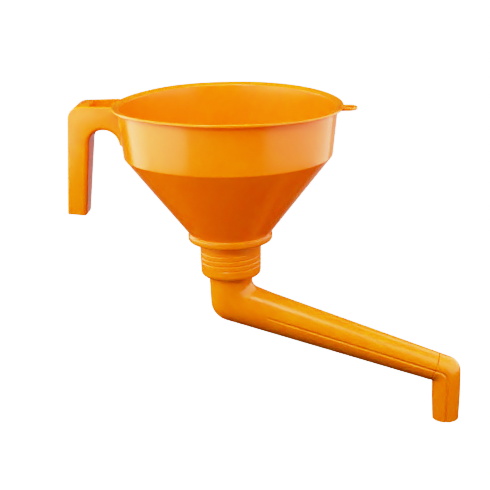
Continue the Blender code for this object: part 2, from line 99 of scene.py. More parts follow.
# This bevel stops growing between 1.3 and 1.4 mm on the handle as it is
HANDLE_EDGE = 0.0016
HANDLE_WALL = 0.0022
HANDLE_ROOT_DEPTH = 0.0150
ARM_DEPTH = 0.0208
ARCH_RADIUS = 0.01365
ARCH_CENTRE_X = -0.10605
TROUGH_START = -0.1180
TROUGH_ROUNDING = 0.0050
TROUGH_END_DEPTH = 0.0120
HOLLOW_ROUNDING = 0.0012
CUT_BELOW = 0.0040
CUT_ABOVE = 0.0100
CORE_ABOVE = 0.0200
CORE_BELOW = 0.0300
TAB_TOP = 0.1203
TAB_THICKNESS = 0.0028
TAB_RADIUS = 0.0080
TAB_CENTRE_X = 0.1036
TAB_HOLE_X = 0.1044
TAB_HOLE_RADIUS = 0.0038
TAB_ROOT_DEPTH = 0.0025
TAB_EDGE = 0.0006

# Strainer
STRAINER_GAP = 0.0003
STRAINER_TOP = 0.0073
STRAINER_RING_WIDTH = 0.0042
CROSS_OVERLAP = 0.0010
CROSS_HALF_WIDTH = 0.0010
CROSS_LOW = 0.0032
CROSS_HIGH = 0.0039
CLOTH_OVERLAP = 0.0008
CLOTH_MIDDLE = 0.0046
WIRE_PITCH = 0.0012
WIRE_RADIUS = 0.00016

# Spout
SPIGOT_RADIUS = 0.0196
SPIGOT_TIP = 0.0357
BEAD_UNDER = 0.0321
BEAD_TOP = 0.0345
SNAP_BEAD = 0.0020
ELBOW_RADIUS = 0.0187
ELBOW_DROP = 0.0248
ELBOW_INNER_BEND = 0.0085
ELBOW_OUTER_BEND = 0.0185
ARM_REACH = 0.1923
ARM_DIP = math.radians(18.6)
ARM_END_RADIUS = 0.0128
SEAM_SETBACK = 0.01124
SEAM_GAP = 0.0003
OUTLET_LENGTH = 0.0466
OUTLET_END_RADIUS = 0.0118
OUTLET_INNER_BEND = 0.0020
OUTLET_OUTER_BEND = 0.0140
SPOUT_WALL = 0.0019
PLUG_LENGTH = 0.0130
PLUG_WALL = 0.0015
PLUG_GAP = 0.0003
VENT_WIDTH = 0.0030
VENT_DEPTH = 0.0010
VENT_START = 0.0340
VENT_LEAD = 0.0010
VENT_RUN_IN = 0.0045
VENT_FLAT = 0.10
VENT_DENSITY = 0.30
OUTLET_RUN_START = 0.0220

# Edges of the spout and strainer
EDGE_FINE = 0.0002
EDGE_LIGHT = 0.0003
EDGE_SEAM = 0.0004

ARM_LENGTH = ARM_REACH / math.cos(ARM_DIP)
ARM_DIRECTION = Vector((math.cos(ARM_DIP), 0.0, -math.sin(ARM_DIP)))
DOWN = Vector((0.0, 0.0, -1.0))
ELBOW_CENTRE = Vector((0.0, 0.0, -NECK_LENGTH - ELBOW_DROP))
OUTLET_CENTRE = ELBOW_CENTRE + ARM_DIRECTION * ARM_LENGTH

# How finely the pieces are divided
BOWL_FACETS = 256
TUBE_FACETS = 96
FILLET_STEPS = 6
BEND_STEPS = 20
ARM_STEPS = 24
VENT_STEPS = 8
CORNER_STEPS = 16
ARCH_STEPS = 32
CORE_FACETS = 128
STRAINER_FACETS = 192
TAB_STEPS = 32
HOLE_FACETS = 48
OUTLET_STEPS = 12
WIRE_SIDES = 5
WIRE_STEPS = 4

# Camera and light
CAMERA_PLACE = Vector((0.1149, -1.1218, 0.3358))
CAMERA_HEADING = math.radians(5.2)
CAMERA_PITCH = math.radians(16.86)
CAMERA_ROLL = math.radians(-1.203)
CAMERA_LENS = 97.62
FLOOR_Z = -0.3000
FLOOR_REACH = 40.0
SKY_LIGHT = 0.055
GROUND_LIGHT = 0.01
BACKDROP_LIGHT = 0.20
PANEL_DISTANCE = 0.60
# Each panel: name, heading in degrees, width, lower and upper end, power
PANELS = [("left_front_panel", 58.0, 0.50, -0.16, 0.55, 1.30),
          ("left_panel", 108.0, 0.60, -0.16, 0.55, 1.60),
          ("fill_panel", 22.0, 0.26, -0.09, 0.35, 0.24),
          ("right_front_panel", -66.0, 0.55, -0.16, 0.55, 0.95),
          ("right_panel", -115.0, 0.60, -0.16, 0.55, 1.00)]
SOFTBOXES = [("top_softbox", (0.15, -0.45, 1.20), (1.0, 0.8), 6.0),
             ("front_key", (-0.40, -1.50, 1.15), (0.15, 0.15), 6.0)]
WHITE = 0.9
TONE_CURVE = [(0.0, 0.0), (0.009, 0.005), (0.023, 0.030), (0.045, 0.093), (0.09, 0.23), (0.16, 0.47),
              (0.23, 0.65), (0.32, 0.78), (0.45, 0.86), (0.70, 0.93), (WHITE, 1.0), (1.0, 1.0)]


# ---------------------------------------------------------------- meshes

def make_piece(name, points, faces, body, material, sharp_angle=30.0):
    mesh = bpy.data.meshes.new(name)
    mesh.from_pydata([tuple(point) for point in points], [], faces)
    work = bmesh.new()
    work.from_mesh(mesh)
    bmesh.ops.recalc_face_normals(work, faces=work.faces)
    work.to_mesh(mesh)
    work.free()
    mesh.shade_smooth()
    mesh.set_sharp_from_angle(angle=math.radians(sharp_angle))
    piece = bpy.data.objects.new(name, mesh)
    bpy.context.scene.collection.objects.link(piece)
    if material is not None:
        mesh.materials.append(material)
    if body is not None:
        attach(piece, body)
    return piece


def ring_faces(ring_count, facets, closed):
    """Quads that join rings of equally many points, and the last to the first if closed."""
    faces = []
    for k in range(ring_count if closed else ring_count - 1):
        here, there = k * facets, (k + 1) % ring_count * facets
        for i in range(facets):
            j = (i + 1) % facets
            faces.append((here + i, here + j, there + j, there + i))
    return faces


def tube_from_rings(rings):
    points = [point for ring in rings for point in ring]
    return points, ring_faces(len(rings), len(rings[0]), True)


def round_corner(before, corner, after, radius, steps):
    """Profile points of a fillet at a corner between two straight runs."""
    corner = Vector(corner)
    back = (Vector(before) - corner).normalized()
    ahead = (Vector(after) - corner).normalized()
    half = back.angle(ahead) / 2
    setback = radius / math.tan(half)
    middle = (back + ahead).normalized() * (radius / math.sin(half)) + corner
    start = corner + back * setback - middle
    end = corner + ahead * setback - middle
    points = []
    for k in range(steps + 1):
        share = k / steps
        sweep = math.pi - 2 * half
        a = math.sin((1 - share) * sweep) / math.sin(sweep)
        b = math.sin(share * sweep) / math.sin(sweep)
        points.append(middle + start * a + end * b)
    return points


def rounded_loop(corners):
    """A closed profile from (radius, height, fillet) corners, each rounded by its fillet."""
    profile = []
    count = len(corners)
    for k, (x, z, fillet) in enumerate(corners):
        if fillet == 0.0:
            profile.append(Vector((x, z)))
            continue
        before, after = corners[k - 1][:2], corners[(k + 1) % count][:2]
        profile += round_corner(before, (x, z), after, fillet, FILLET_STEPS)
    return profile


# ---------------------------------------------------------------- bowl

def smooth_step(low, high, value):
    share = min(1.0, max(0.0, (value - low) / (high - low)))
    return share * share * (3.0 - 2.0 * share)


def rim_drop(angle, z):
    """How far the warp lowers a point: the rim sags by the tab and rises front, back and left."""
    share = max(0.0, z - SEAT_HEIGHT) / (RIM_Z - SEAT_HEIGHT)
    sag = RIM_WARP * math.cos(2 * (angle + CAMERA_HEADING))
    lift = RIM_LIFT * smooth_step(0.0, 0.7, -math.cos(angle))
    return (sag - lift) * share ** 2


def thread_depth(angle, z):
    """Depth of the helical groove at a point of the neck."""
    height = -THREAD_LAND - THREAD_GROOVE / 2 - z
    turn = (angle - THREAD_START) / math.tau
    turn -= math.floor(turn)
    depth = 0.0
    for lap in range(math.ceil(THREAD_TURNS)):
        run = lap + turn
        if run > THREAD_TURNS:
            continue
        middle = (THREAD_TURNS - run) * THREAD_PITCH
        ends = smooth_step(0.0, THREAD_RUN_OUT, run)
        ends *= smooth_step(0.0, THREAD_RUN_OUT, THREAD_TURNS - run)
        side = abs(height - middle) / THREAD_GROOVE
        depth = max(depth, ends * (1.0 - smooth_step(GROOVE_FLAT, GROOVE_SHOULDER, side)))
    return THREAD_DEPTH * depth


def bowl_profile():
    cone_slope = (CREASE_RADIUS - CONE_FOOT_RADIUS) / (CREASE_Z - SEAT_HEIGHT)
    cone_wall = BOWL_WALL * math.hypot(1.0, cone_slope)
    seat_top = SEAT_HEIGHT + (SEAT_BORE + cone_wall - CONE_FOOT_RADIUS) / cone_slope
    floor_z = NECK_FLOOR - NECK_LENGTH
    corners = [
        (RIM_RADIUS, RIM_Z, 0.0007),
        (RIM_RADIUS, RIM_Z - LIP_HEIGHT, 0.0007),
        (BAND_RADIUS, RIM_Z - LIP_HEIGHT, 0.0008),
        (CREASE_RADIUS, CREASE_Z, 0.0014),
        (CONE_FOOT_RADIUS, SEAT_HEIGHT, 0.0008),
        (SEAT_RADIUS, SEAT_HEIGHT - SEAT_STEP, 0.0006),
        (SEAT_RADIUS, 0.0, SEAT_FILLET),
        (NECK_RADIUS, 0.0, 0.0007),
        (NECK_END_RADIUS, -NECK_LENGTH, NECK_FILLET),
        (SWIVEL_BORE, -NECK_LENGTH, 0.0004),
        (SWIVEL_BORE, floor_z, 0.0003),
        (NECK_BORE, floor_z, 0.0006),
        (NECK_BORE, SEAT_FLOOR, 0.0005),
        (SEAT_BORE, SEAT_FLOOR, 0.0006),
        (SEAT_BORE, seat_top, 0.0008),
        (CREASE_RADIUS - BOWL_WALL, CREASE_Z, 0.0020),
        (BAND_RADIUS - BOWL_WALL, RIM_Z - RIM_SLOPE_DROP, 0.0012),
        (RIM_RADIUS - RIM_TOP_WIDTH, RIM_Z, 0.0004),
    ]
    return rounded_loop(corners)


def refine_for_thread(profile):
    """Divides the neck's outside finely, where the thread is, and the long runs a little."""
    fine = []
    for here, there in zip(profile, profile[1:] + profile[:1]):
        on_thread = min(here.x, there.x) > NECK_BORE + NECK_SKIN and max(here.y, there.y) < 0.0
        step = THREAD_STEP if on_thread and (there - here).length > LONG_RUN else LONG_STEP
        steps = max(1, math.ceil((there - here).length / step))
        fine += [here.lerp(there, k / steps) for k in range(steps)]
    return fine


def make_bowl(material):
    rings = []
    for radius, z in refine_for_thread(bowl_profile()):
        ring = []
        on_neck = radius > NECK_BORE + NECK_SKIN and -NECK_LENGTH + NECK_FILLET < z < -NECK_SKIN
        for i in range(BOWL_FACETS):
            angle = math.tau * i / BOWL_FACETS
            r = radius - thread_depth(angle, z) if on_neck else radius
            ring.append(Vector((r * math.cos(angle), r * math.sin(angle), z - rim_drop(angle, z))))
        rings.append(ring)
    return make_piece("bowl_moulding", *tube_from_rings(rings), "bowl", material, 40.0)


# ---------------------------------------------------------------- handle and tab

def arc(centre, radius, start, end, steps):
    return [(centre[0] + radius * math.cos(start + (end - start) * k / steps),
             centre[1] + radius * math.sin(start + (end - start) * k / steps))
            for k in range(steps + 1)]


def handle_half_width(x, z):
    """Half the handle's width, which shrinks downwards and grows towards the bowl."""
    share = (HANDLE_TOP - z) / HANDLE_HEIGHT
    width_at_back = HANDLE_TOP_WIDTH + (HANDLE_BOTTOM_WIDTH - HANDLE_TOP_WIDTH) * share
    return width_at_back / 2 + HANDLE_SPLAY * (x - HANDLE_OUTER)


def hollow_half_width(x, z):
    return handle_half_width(x, z) - HANDLE_WALL


def prism(outline, half_width):
    count = len(outline)
    points = [Vector((x, -half_width(x, z), z)) for x, z in outline]
    points += [Vector((x, half_width(x, z), z)) for x, z in outline]
    faces = ring_faces(2, count, False)
    faces += [tuple(range(count)), tuple(range(count, 2 * count))]
    return points, faces


def add_bevel(piece, width, segments, angle=40.0):
    bevel = piece.modifiers.new("bevel", 'BEVEL')
    bevel.width = width
    bevel.segments = segments
    bevel.limit_method = 'ANGLE'
    bevel.angle_limit = math.radians(angle)


def cut_away(piece, form):
    modifier = piece.modifiers.new(form.name, 'BOOLEAN')
    modifier.operation = 'DIFFERENCE'
    modifier.object = form


def make_form(name, points, faces):
    return make_piece(name, points, faces, None, None)


def handle_outline():
    bottom = HANDLE_TOP - HANDLE_HEIGHT
    root_x = -BAND_RADIUS + HANDLE_ROOT_DEPTH
    arch_z = HANDLE_TOP - ARM_DEPTH - ARCH_RADIUS
    outline = [(root_x, HANDLE_TOP)]
    outline += arc((HANDLE_OUTER + HANDLE_CORNER, HANDLE_TOP - HANDLE_CORNER), HANDLE_CORNER,
                   math.pi / 2, math.pi, CORNER_STEPS)
    outline.append((HANDLE_OUTER - HANDLE_LEAN, bottom))
    slant = GRIP_THICKNESS * HANDLE_LEAN / HANDLE_HEIGHT
    outline.append((HANDLE_OUTER - HANDLE_LEAN + GRIP_THICKNESS, bottom - slant))
    outline += arc((ARCH_CENTRE_X, arch_z), ARCH_RADIUS, math.pi, 0.0, ARCH_STEPS)
    outline.append((root_x, arch_z))
    return outline


def trough_form():
    floor = HANDLE_TOP - ARM_DEPTH + HANDLE_WALL
    end, above = -BAND_RADIUS + TROUGH_END_DEPTH, RIM_Z + CUT_ABOVE
    outline = [(TROUGH_START, floor), (end, floor), (end, above), (TROUGH_START, above)]
    form = make_form("trough_form", *prism(outline, hollow_half_width))
    add_bevel(form, TROUGH_ROUNDING, 8)
    return form


def grip_hollow_form():
    lean = HANDLE_LEAN / HANDLE_HEIGHT
    outline = []
    for z in (HANDLE_TOP - ARM_DEPTH, HANDLE_TOP - HANDLE_HEIGHT - CUT_BELOW):
        outline.append((HANDLE_OUTER - lean * (HANDLE_TOP - z) + HANDLE_WALL, z))
    outline += [(x + GRIP_THICKNESS - 2 * HANDLE_WALL, z) for x, z in reversed(outline)]
    form = make_form("grip_hollow_form", *prism(outline, hollow_half_width))
    add_bevel(form, HOLLOW_ROUNDING, 4)
    return form


def bowl_core_form():
    """A full body with the middle of the bowl's wall for its side, which trims what joins it."""
    half_wall = BOWL_WALL / 2
    edge = RIM_RADIUS - RIM_TOP_WIDTH / 2
    profile = [(edge, RIM_Z + CORE_ABOVE), (edge, RIM_Z - half_wall / 2),
               (BAND_RADIUS - half_wall, RIM_Z - RIM_SLOPE_DROP - half_wall / 2),
               (CREASE_RADIUS - half_wall, CREASE_Z),
               (CREASE_RADIUS - CORE_BELOW, CREASE_Z - CORE_BELOW)]
    points = []
    for radius, z in profile:
        for i in range(CORE_FACETS):
            angle = math.tau * i / CORE_FACETS
            points.append(Vector((radius * math.cos(angle), radius * math.sin(angle), z)))
    faces = ring_faces(len(profile), CORE_FACETS, False)
    faces += [tuple(range(CORE_FACETS)), tuple(range(len(points) - CORE_FACETS, len(points)))]
    return make_form("bowl_core_form", points, faces)


def apply_modifiers(piece, *forms):
    """Turns the modified shape into the piece's own mesh, and removes the helper forms."""
    bpy.context.view_layer.update()
    graph = bpy.context.evaluated_depsgraph_get()
    mesh = bpy.data.meshes.new_from_object(piece.evaluated_get(graph))
    piece.modifiers.clear()
    piece.data = mesh
    mesh.shade_smooth()
    mesh.set_sharp_from_angle(angle=math.radians(24.0))
    for form in forms:
        bpy.data.objects.remove(form)


def round_finger_side(piece, count):
    """Gives the side of grip and arch that the fingers touch its wide rounding."""
    # The outline's first points are the root, the outer corner's arc and the outer foot
    start = CORNER_STEPS + 3
    chain = range(start, start + ARCH_STEPS + 1)
    work = bmesh.new()
    work.from_mesh(piece.data)
    work.verts.ensure_lookup_table()
    edges = []
    for k in chain:
        for low in (k, k + count):
            edges.append(work.edges.get((work.verts[low], work.verts[low + 1])))
    bmesh.ops.bevel(work, geom=edges, offset=GRIP_ROUNDING, offset_type='OFFSET', segments=8,
                    profile=0.5, affect='EDGES', clamp_overlap=False)
    work.to_mesh(piece.data)
    work.free()


def make_handle(material, core):
    outline = handle_outline()
    handle = make_piece("handle_moulding", *prism(outline, handle_half_width), "bowl", material)
    round_finger_side(handle, len(outline))
    add_bevel(handle, HANDLE_EDGE, 4, 50.0)
    trough, hollow = trough_form(), grip_hollow_form()
    for form in (trough, hollow, core):
        cut_away(handle, form)
    apply_modifiers(handle, trough, hollow)


def make_tab(material):
    root_x = RIM_RADIUS - TAB_ROOT_DEPTH
    outline = [(root_x, -TAB_RADIUS)]
    outline += arc((TAB_CENTRE_X, 0.0), TAB_RADIUS, -math.pi / 2, math.pi / 2, TAB_STEPS)
    outline.append((root_x, TAB_RADIUS))
    count = len(outline)
    top = TAB_TOP - rim_drop(0.0, RIM_Z)
    points = [Vector((x, y, top - drop)) for drop in (0.0, TAB_THICKNESS) for x, y in outline]
    faces = ring_faces(2, count, False) + [tuple(range(count)), tuple(range(count, 2 * count))]
    tab = make_piece("tab_moulding", points, faces, "bowl", material)
    sides = HOLE_FACETS
    rim = arc((TAB_HOLE_X, 0.0), TAB_HOLE_RADIUS, 0.0, math.tau * (sides - 1) / sides, sides - 1)
    points = [Vector((x, y, TAB_TOP + z)) for z in (CUT_ABOVE, -CUT_ABOVE) for x, y in rim]
    faces = ring_faces(2, sides, False) + [tuple(range(sides)), tuple(range(sides, 2 * sides))]
    hole = make_form("tab_hole_form", points, faces)
    cut_away(tab, hole)
    add_bevel(tab, TAB_EDGE, 3)
    apply_modifiers(tab, hole)


# ---------------------------------------------------------------- strainer

def make_strainer_ring(material):
    outer = SEAT_BORE - STRAINER_GAP
    inner = outer - STRAINER_RING_WIDTH
    bottom = SEAT_FLOOR + STRAINER_GAP
    profile = rounded_loop([
        (outer, STRAINER_TOP, 0.0006), (outer, bottom, 0.0004),
        (inner, bottom, 0.0004), (inner, STRAINER_TOP, 0.0009)])
    angles = [math.tau * i / STRAINER_FACETS for i in range(STRAINER_FACETS)]
    rings = [[Vector((r * math.cos(a), r * math.sin(a), z)) for a in angles] for r, z in profile]
    return make_piece("strainer_ring", *tube_from_rings(rings), "strainer", material)


def make_strainer_cross(material):
    reach = SEAT_BORE - STRAINER_RING_WIDTH + CROSS_OVERLAP
    half = CROSS_HALF_WIDTH
    outline = [(reach, half), (half, half), (half, reach), (-half, reach), (-half, half),
               (-reach, half), (-reach, -half), (-half, -half), (-half, -reach),
               (half, -reach), (half, -half), (reach, -half)]
    points = [Vector((x, y, z)) for z in (CROSS_LOW, CROSS_HIGH) for x, y in outline]
    faces = ring_faces(2, 12, False) + [tuple(range(12)), tuple(range(12, 24))]
    cross = make_piece("strainer_cross", points, faces, "strainer", material)
    add_bevel(cross, EDGE_LIGHT, 3)
    apply_modifiers(cross)


def make_wire_cloth(material):
    """Plain-woven wire cloth: each wire passes over and under the wires that cross it."""
    reach = SEAT_BORE - STRAINER_RING_WIDTH + CLOTH_OVERLAP
    count = int(reach / WIRE_PITCH)
    points, faces = [], []
    for crosswise in (False, True):
        for k in range(-count, count + 1):
            offset = k * WIRE_PITCH
            half = math.sqrt(max(0.0, reach ** 2 - offset ** 2))
            steps = max(2, int(half / WIRE_PITCH * WIRE_STEPS))
            first = len(points)
            for step in range(steps + 1):
                along = -half + 2 * half * step / steps
                phase = math.pi * along / WIRE_PITCH + math.pi * (k + (1 if crosswise else 0))
                lift = WIRE_RADIUS * math.cos(phase)
                for side in range(WIRE_SIDES):
                    turn = math.tau * side / WIRE_SIDES
                    across = offset + WIRE_RADIUS * math.cos(turn)
                    z = CLOTH_MIDDLE + lift + WIRE_RADIUS * math.sin(turn)
                    points.append(Vector((across, along, z) if crosswise else (along, across, z)))
            for face in ring_faces(steps + 1, WIRE_SIDES, False):
                faces.append(tuple(index + first for index in face))
    return make_piece("wire_cloth", points, faces, "strainer", material)


# ---------------------------------------------------------------- spout

class Bend:
    """A round tube that runs along one line, turns a corner and runs along a second line.

    Every line along the tube is rounded at the corner, tightly on the inner side of the bend
    and widely on the outer side.
    """

    def __init__(self, corner, first, second, inner_bend, outer_bend):
        self.corner = corner
        self.first = first
        self.second = second
        self.inner_bend = inner_bend
        self.outer_bend = outer_bend
        side_first = (second - first * first.dot(second)).normalized()
        side_second = (second * first.dot(second) - first).normalized()
        self.half_turn = first.angle(second) / 2
        self.sides = (side_first, side_second)
        self.mitre = (side_first + side_second) / (1.0 + side_first.dot(side_second))

    def before(self, distance, radius, angle):
        """A point on the first run, at a distance before the corner."""
        return self.offset(self.corner - self.first * distance, self.sides[0], radius, angle)

    def after(self, distance, radius, angle):
        return self.offset(self.corner + self.second * distance, self.sides[1], radius, angle)

    @staticmethod
    def offset(centre, side, radius, angle):
        across = Vector((0.0, 1.0, 0.0))
        return centre + side * radius * math.cos(angle) + across * radius * math.sin(angle)

    def rounded(self, share, radius, angle):
        """A point on the rounded corner: share 0 is where it starts, 1 where it ends."""
        sharp = self.offset(self.corner, self.mitre, radius, angle)
        inward = (1.0 + math.cos(angle)) / 2
        bend = self.outer_bend + (self.inner_bend - self.outer_bend) * inward
        start = sharp - self.first * bend * math.tan(self.half_turn)
        centre = start + self.sides[0] * bend
        swing = 2 * self.half_turn * share
        return centre - self.sides[0] * bend * math.cos(swing) + self.first * bend * math.sin(swing)


def tube_angles():
    """Angles of the lines along a tube, denser beside the two vent grooves."""
    angles = []
    for i in range(TUBE_FACETS):
        turn = math.tau * i / TUBE_FACETS
        angles.append(turn + VENT_DENSITY * math.sin(2 * turn))
    return angles


def vent_shape(radius, angle):
    """Share of the vent groove's depth at an angle of the tube: a round-bottomed groove."""
    off = abs(abs(math.remainder(angle, math.tau)) - math.pi / 2) * radius
    return 1.0 - smooth_step(VENT_FLAT, 1.0, off / (VENT_WIDTH / 2))


def tube_ring(place, radius, vent=0.0):
    """One ring of a tube: place(radius, angle) gives a point; vent is the groove's depth."""
    return [place(radius - vent * vent_shape(radius, angle), angle) for angle in tube_angles()]


def straight_rings(place, stations):
    return [tube_ring(lambda r, a, d=distance: place(d, r, a), radius, vent)
            for distance, radius, vent in stations]


def corner_rings(bend, radius, vent=0.0):
    return [tube_ring(lambda r, a, s=k / BEND_STEPS: bend.rounded(s, r, a), radius, vent)
            for k in range(BEND_STEPS + 1)]


def arm_radius(distance):
    return ELBOW_RADIUS + (ARM_END_RADIUS - ELBOW_RADIUS) * distance / ARM_LENGTH


def make_spout_arm(material):
    bend = Bend(ELBOW_CENTRE, DOWN, ARM_DIRECTION, ELBOW_INNER_BEND, ELBOW_OUTER_BEND)
    bore = Bend(ELBOW_CENTRE, DOWN, ARM_DIRECTION,
                ELBOW_INNER_BEND + SPOUT_WALL, ELBOW_OUTER_BEND - SPOUT_WALL)
    end = ARM_LENGTH - SEAM_SETBACK
    bead = SPIGOT_RADIUS + SNAP_BEAD
    spigot = [(SPIGOT_TIP, SPIGOT_RADIUS - EDGE_FINE, 0.0),
              (BEAD_TOP + EDGE_FINE, bead - EDGE_LIGHT, 0.0),
              (BEAD_TOP - EDGE_LIGHT, bead, 0.0),
              (BEAD_UNDER + EDGE_FINE, bead, 0.0),
              (BEAD_UNDER, bead - EDGE_FINE, 0.0),
              (BEAD_UNDER, SPIGOT_RADIUS, 0.0),
              (ELBOW_DROP, SPIGOT_RADIUS, 0.0)]
    rings = straight_rings(bend.before, spigot)
    rings += corner_rings(bend, ELBOW_RADIUS)
    first = VENT_START - VENT_LEAD
    stations = [(first, arm_radius(first), 0.0)]
    for k in range(1, VENT_STEPS + 1):
        share = k / VENT_STEPS
        distance = first + VENT_RUN_IN * share
        stations.append((distance, arm_radius(distance), VENT_DEPTH * smooth_step(0.0, 1.0, share)))
    start = stations[-1][0]
    run = end - EDGE_SEAM - start
    for k in range(1, ARM_STEPS + 1):
        distance = start + run * k / ARM_STEPS
        stations.append((distance, arm_radius(distance), VENT_DEPTH))
    stations.append((end, arm_radius(end) - EDGE_SEAM, VENT_DEPTH))
    stations.append((end, arm_radius(end) - SPOUT_WALL, 0.0))
    rings += straight_rings(bend.after, stations)
    rings += reversed(corner_rings(bore, ELBOW_RADIUS - SPOUT_WALL))
    rings += straight_rings(bore.before, [(ELBOW_DROP, SPIGOT_RADIUS - SPOUT_WALL, 0.0),
                                          (SPIGOT_TIP, SPIGOT_RADIUS - SPOUT_WALL, 0.0)])
    return make_piece("spout_arm_moulding", *tube_from_rings(rings), "spout", material, 34.0)


def make_outlet_elbow(material):
    bend = Bend(OUTLET_CENTRE, ARM_DIRECTION, DOWN, OUTLET_INNER_BEND, OUTLET_OUTER_BEND)
    bore = Bend(OUTLET_CENTRE, ARM_DIRECTION, DOWN,
                OUTLET_INNER_BEND + SPOUT_WALL, OUTLET_OUTER_BEND - SPOUT_WALL)
    shoulder = SEAM_SETBACK - SEAM_GAP
    shoulder_radius = arm_radius(ARM_LENGTH - shoulder)
    plug = arm_radius(ARM_LENGTH - SEAM_SETBACK) - SPOUT_WALL - PLUG_GAP
    tip = SEAM_SETBACK + PLUG_LENGTH
    rings = straight_rings(bend.before, [
        (shoulder, shoulder_radius - EDGE_SEAM, VENT_DEPTH),
        (shoulder - EDGE_SEAM, shoulder_radius, VENT_DEPTH)])
    rings += corner_rings(bend, ARM_END_RADIUS, VENT_DEPTH)
    outlet = []
    outlet_run = OUTLET_LENGTH - OUTLET_RUN_START - EDGE_SEAM
    for k in range(1, OUTLET_STEPS + 1):
        share = k / OUTLET_STEPS
        radius = ARM_END_RADIUS + (OUTLET_END_RADIUS - ARM_END_RADIUS) * share
        distance = OUTLET_RUN_START + outlet_run * share
        outlet.append((distance, radius, VENT_DEPTH))
    mouth = OUTLET_END_RADIUS - SPOUT_WALL
    outlet.append((OUTLET_LENGTH, OUTLET_END_RADIUS - EDGE_SEAM, VENT_DEPTH))
    outlet.append((OUTLET_LENGTH, mouth + EDGE_LIGHT, 0.0))
    outlet.append((OUTLET_LENGTH - EDGE_LIGHT, mouth, 0.0))
    rings += straight_rings(bend.after, outlet)
    rings += reversed(corner_rings(bore, ARM_END_RADIUS - SPOUT_WALL))
    rings += straight_rings(bend.before, [
        (SEAM_SETBACK, plug - PLUG_WALL, 0.0), (tip, plug - PLUG_WALL, 0.0),
        (tip, plug - EDGE_LIGHT, 0.0), (tip - EDGE_LIGHT, plug, 0.0), (shoulder, plug, 0.0)])
    return make_piece("outlet_elbow_moulding", *tube_from_rings(rings), "spout", material, 34.0)


# ---------------------------------------------------------------- materials

class Nodes:
    """Short calls that add and link the nodes of one material."""

    def __init__(self, material):
        self.tree = material.node_tree
        self.shader = self.tree.nodes["Principled BSDF"]

    def add(self, kind, **inputs):
        node = self.tree.nodes.new(kind)
        for name, value in inputs.items():
            node.inputs[name.replace("_", " ")].default_value = value
        return node

    def link(self, output, target):
        self.tree.links.new(output, target)


def new_material(name, slot):
    material = bpy.data.materials.new(name)
    material.use_nodes = True
    material["slot"] = slot
    return material, Nodes(material)


def make_orange():
    """Injection-moulded polyethylene: satin, slightly cloudy, with faint flow marks."""
    material, nodes = new_material("orange_polyethylene_look", "orange_polyethylene")
    shader = nodes.shader
    place = nodes.add('ShaderNodeTexCoord')
    cloud = nodes.add('ShaderNodeTexNoise', Scale=14.0, Detail=3.0, Roughness=0.55)
    nodes.link(place.outputs["Object"], cloud.inputs["Vector"])
    ramp = nodes.add('ShaderNodeValToRGB')
    ramp.color_ramp.elements[0].position = 0.30
    ramp.color_ramp.elements[0].color = (0.90, 0.205, 0.0000, 1.0)
    ramp.color_ramp.elements[1].position = 0.72
    ramp.color_ramp.elements[1].color = (0.96, 0.235, 0.0000, 1.0)
    nodes.link(cloud.outputs["Fac"], ramp.inputs["Fac"])
    nodes.link(ramp.outputs["Color"], shader.inputs["Base Color"])
    grain = nodes.add('ShaderNodeTexNoise', Scale=900.0, Detail=4.0, Roughness=0.6)
    nodes.link(place.outputs["Object"], grain.inputs["Vector"])
    polish = nodes.add('ShaderNodeMapRange')
    polish.inputs["To Min"].default_value = 0.18
    polish.inputs["To Max"].default_value = 0.27
    nodes.link(cloud.outputs["Fac"], polish.inputs["Value"])
    nodes.link(polish.outputs["Result"], shader.inputs["Roughness"])
    waves = nodes.add('ShaderNodeTexNoise', Scale=45.0, Detail=2.0)
    nodes.link(place.outputs["Object"], waves.inputs["Vector"])
    bump_fine = nodes.add('ShaderNodeBump', Strength=0.05, Distance=0.0002)
    nodes.link(grain.outputs["Fac"], bump_fine.inputs["Height"])
    bump_wide = nodes.add('ShaderNodeBump', Strength=0.10, Distance=0.0006)
    nodes.link(waves.outputs["Fac"], bump_wide.inputs["Height"])
    nodes.link(bump_fine.outputs["Normal"], bump_wide.inputs["Normal"])
    nodes.link(bump_wide.outputs["Normal"], shader.inputs["Normal"])
    shader.inputs["IOR"].default_value = 1.50
    shader.inputs["Subsurface Weight"].default_value = 0.45
    shader.inputs["Subsurface Radius"].default_value = (0.0100, 0.0012, 0.0003)
    shader.inputs["Subsurface Scale"].default_value = 1.0
    return material


def make_brass():
    material, nodes = new_material("brass_wire_look", "brass_wire")
    shader = nodes.shader
    place = nodes.add('ShaderNodeTexCoord')
    stain = nodes.add('ShaderNodeTexNoise', Scale=160.0, Detail=4.0)
    nodes.link(place.outputs["Object"], stain.inputs["Vector"])
    ramp = nodes.add('ShaderNodeValToRGB')
    ramp.color_ramp.elements[0].color = (0.50, 0.31, 0.10, 1.0)
    ramp.color_ramp.elements[1].color = (0.80, 0.58, 0.26, 1.0)
    nodes.link(stain.outputs["Fac"], ramp.inputs["Fac"])
    nodes.link(ramp.outputs["Color"], shader.inputs["Base Color"])
    shader.inputs["Metallic"].default_value = 1.0
    shader.inputs["Roughness"].default_value = 0.32
    return material


